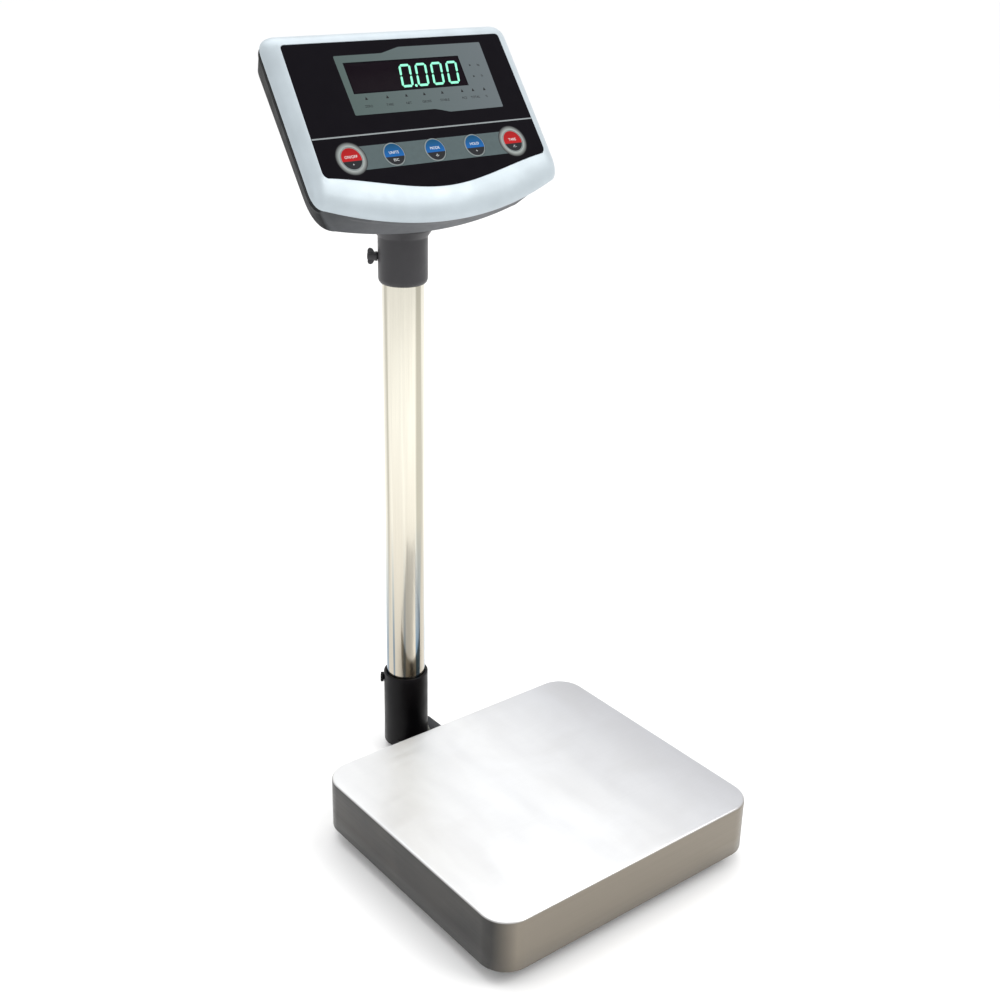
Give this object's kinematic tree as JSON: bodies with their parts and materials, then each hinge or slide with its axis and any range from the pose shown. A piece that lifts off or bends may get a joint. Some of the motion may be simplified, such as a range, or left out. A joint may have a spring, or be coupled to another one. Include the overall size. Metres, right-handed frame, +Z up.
{
  "type": "bench scale",
  "caption": "Bench weighing scale with a square-cornered stainless pan on a levelled base, a rear column and a swivelling, tilting display head with keys.",
  "frame": {"origin": "under the middle of the bounding box, on the surface that the feet stand on", "axes": "+Z up along the column, +X to the right seen from the front, -Y towards the front edge of the pan"},
  "size_m": [0.292, 0.3934, 0.6948],
  "materials": {
    "frame_paint": "satin powder coat",
    "zinc": "zinc plated",
    "aluminium": "milled",
    "rubber": "matte",
    "stainless": "fine brushed",
    "polished_stainless": "polished",
    "black_gloss": "gloss",
    "cable_sheath": "matte",
    "dark_plastic": "satin",
    "silver_plastic": "satin metallic paint",
    "grey_plastic": "fine texture",
    "panel_film": "satin film",
    "smoked_window": "smoked gloss",
    "circuit_board": "solder mask",
    "red_key": "printed film",
    "blue_key": "printed film"
  },
  "bodies": {
    "base": {"base_rail_left": "frame_paint", "base_rail_right": "frame_paint", "base_crossmember_front": "frame_paint", "base_crossmember_rear": "frame_paint", "base_centre_plate": "frame_paint", "overload_stop_1": "zinc", "overload_stop_2": "zinc", "overload_stop_3": "zinc", "overload_stop_4": "zinc", "bubble_level": "aluminium", "load_cell_spacer_lower": "aluminium", "load_cell": "aluminium", "load_cell_bolt_lower_1": "zinc", "load_cell_bolt_lower_2": "zinc", "column_bracket": "frame_paint", "bracket_bolt_left": "zinc", "bracket_bolt_right": "zinc", "column_socket": "black_gloss", "socket_screw": "black_gloss", "column_tube": "polished_stainless", "load_cell_cable": "cable_sheath"},
    "weigh_frame": {"load_cell_spacer_upper": "aluminium", "load_cell_bolt_upper_1": "zinc", "load_cell_bolt_upper_2": "zinc", "top_frame_plate": "frame_paint", "top_frame_bar_front": "frame_paint", "top_frame_bar_rear": "frame_paint", "pan_pad_1": "rubber", "pan_pad_2": "rubber", "pan_pad_3": "rubber", "pan_pad_4": "rubber"},
    "pan": {"weighing_pan": "stainless"},
    "foot_1": {"foot_pad_1": "rubber"},
    "stud_1": {"foot_stud_1": "zinc"},
    "foot_2": {"foot_pad_2": "rubber"},
    "stud_2": {"foot_stud_2": "zinc"},
    "foot_3": {"foot_pad_3": "rubber"},
    "stud_3": {"foot_stud_3": "zinc"},
    "foot_4": {"foot_pad_4": "rubber"},
    "stud_4": {"foot_stud_4": "zinc"},
    "pole_head": {"pole_head": "dark_plastic"},
    "clamp_screw": {"clamp_screw": "dark_plastic"},
    "indicator": {"front_shell": "silver_plastic", "back_shell": "grey_plastic", "front_panel": "panel_film", "display_window": "smoked_window", "led_display": "dark_plastic", "main_board": "circuit_board", "keypad_board": "circuit_board", "battery": "grey_plastic", "power_inlet": "black_gloss", "power_switch_bezel": "black_gloss", "tilt_bracket": "frame_paint", "tilt_pin": "zinc"},
    "rocker": {"power_rocker": "red_key"},
    "key_1": {"key_1": "red_key"},
    "key_2": {"key_2": "blue_key"},
    "key_3": {"key_3": "blue_key"},
    "key_4": {"key_4": "blue_key"},
    "key_5": {"key_5": "red_key"}
  },
  "joints": [
    {"name": "weigh_deflection", "type": "slide", "parent": "base", "child": "weigh_frame", "axis": [0, 0, -1], "range_m": [0, 0.0004], "stiffness_N_per_m": 100000, "springref_m": -0.0004},
    {"name": "pan_lift", "type": "slide", "parent": "weigh_frame", "child": "pan", "axis": [0, 0, 1], "range_m": [0, 0.12]},
    {"name": "foot_1_height", "type": "slide", "parent": "base", "child": "foot_1", "axis": [0, 0, 1], "range_m": [-0.008, 0.002]},
    {"name": "stud_1_turn", "type": "hinge", "parent": "foot_1", "child": "stud_1", "pos_m": [-0.088, -0.15174, 0.02], "axis": [0, 0, 1], "range_deg": [-2310, 580]},
    {"name": "foot_2_height", "type": "slide", "parent": "base", "child": "foot_2", "axis": [0, 0, 1], "range_m": [-0.008, 0.002]},
    {"name": "stud_2_turn", "type": "hinge", "parent": "foot_2", "child": "stud_2", "pos_m": [0.088, -0.15174, 0.02], "axis": [0, 0, 1], "range_deg": [-2310, 580]},
    {"name": "foot_3_height", "type": "slide", "parent": "base", "child": "foot_3", "axis": [0, 0, 1], "range_m": [-0.008, 0.002]},
    {"name": "stud_3_turn", "type": "hinge", "parent": "foot_3", "child": "stud_3", "pos_m": [-0.088, 0.03626, 0.02], "axis": [0, 0, 1], "range_deg": [-2310, 580]},
    {"name": "foot_4_height", "type": "slide", "parent": "base", "child": "foot_4", "axis": [0, 0, 1], "range_m": [-0.008, 0.002]},
    {"name": "stud_4_turn", "type": "hinge", "parent": "foot_4", "child": "stud_4", "pos_m": [0.088, 0.03626, 0.02], "axis": [0, 0, 1], "range_deg": [-2310, 580]},
    {"name": "head_swivel", "type": "hinge", "parent": "base", "child": "pole_head", "pos_m": [0, 0.14416, 0.5], "axis": [0, 0, 1], "range_deg": [-90, 90]},
    {"name": "clamp_turn", "type": "hinge", "parent": "pole_head", "child": "clamp_screw", "pos_m": [-0.0197, 0.15955, 0.507], "axis": [-0.788, 0.6157, 0], "range_deg": [0, 360]},
    {"name": "head_tilt", "type": "hinge", "parent": "pole_head", "child": "indicator", "pos_m": [0, 0.14416, 0.572], "axis": [-1, 0, 0], "range_deg": [-10, 30]},
    {"name": "rocker_tilt", "type": "hinge", "parent": "indicator", "child": "rocker", "pos_m": [0.066, 0.12498, 0.57289], "axis": [0, 0.584, 0.8118], "range_deg": [0, 14]},
    {"name": "key_1_press", "type": "slide", "parent": "indicator", "child": "key_1", "axis": [0, 0.8118, -0.584], "range_m": [0, 0.0005], "stiffness_N_per_m": 600, "springref_m": -0.0008},
    {"name": "key_2_press", "type": "slide", "parent": "indicator", "child": "key_2", "axis": [0, 0.8118, -0.584], "range_m": [0, 0.0005], "stiffness_N_per_m": 600, "springref_m": -0.0008},
    {"name": "key_3_press", "type": "slide", "parent": "indicator", "child": "key_3", "axis": [0, 0.8118, -0.584], "range_m": [0, 0.0005], "stiffness_N_per_m": 600, "springref_m": -0.0008},
    {"name": "key_4_press", "type": "slide", "parent": "indicator", "child": "key_4", "axis": [0, 0.8118, -0.584], "range_m": [0, 0.0005], "stiffness_N_per_m": 600, "springref_m": -0.0008},
    {"name": "key_5_press", "type": "slide", "parent": "indicator", "child": "key_5", "axis": [0, 0.8118, -0.584], "range_m": [0, 0.0005], "stiffness_N_per_m": 600, "springref_m": -0.0008}
  ],
  "couplings": [
    {"joint": "stud_1_turn", "follows": "foot_1_height", "rad_per_m": 5026.5},
    {"joint": "stud_2_turn", "follows": "foot_2_height", "rad_per_m": 5026.5},
    {"joint": "stud_3_turn", "follows": "foot_3_height", "rad_per_m": 5026.5},
    {"joint": "stud_4_turn", "follows": "foot_4_height", "rad_per_m": 5026.5}
  ]
}
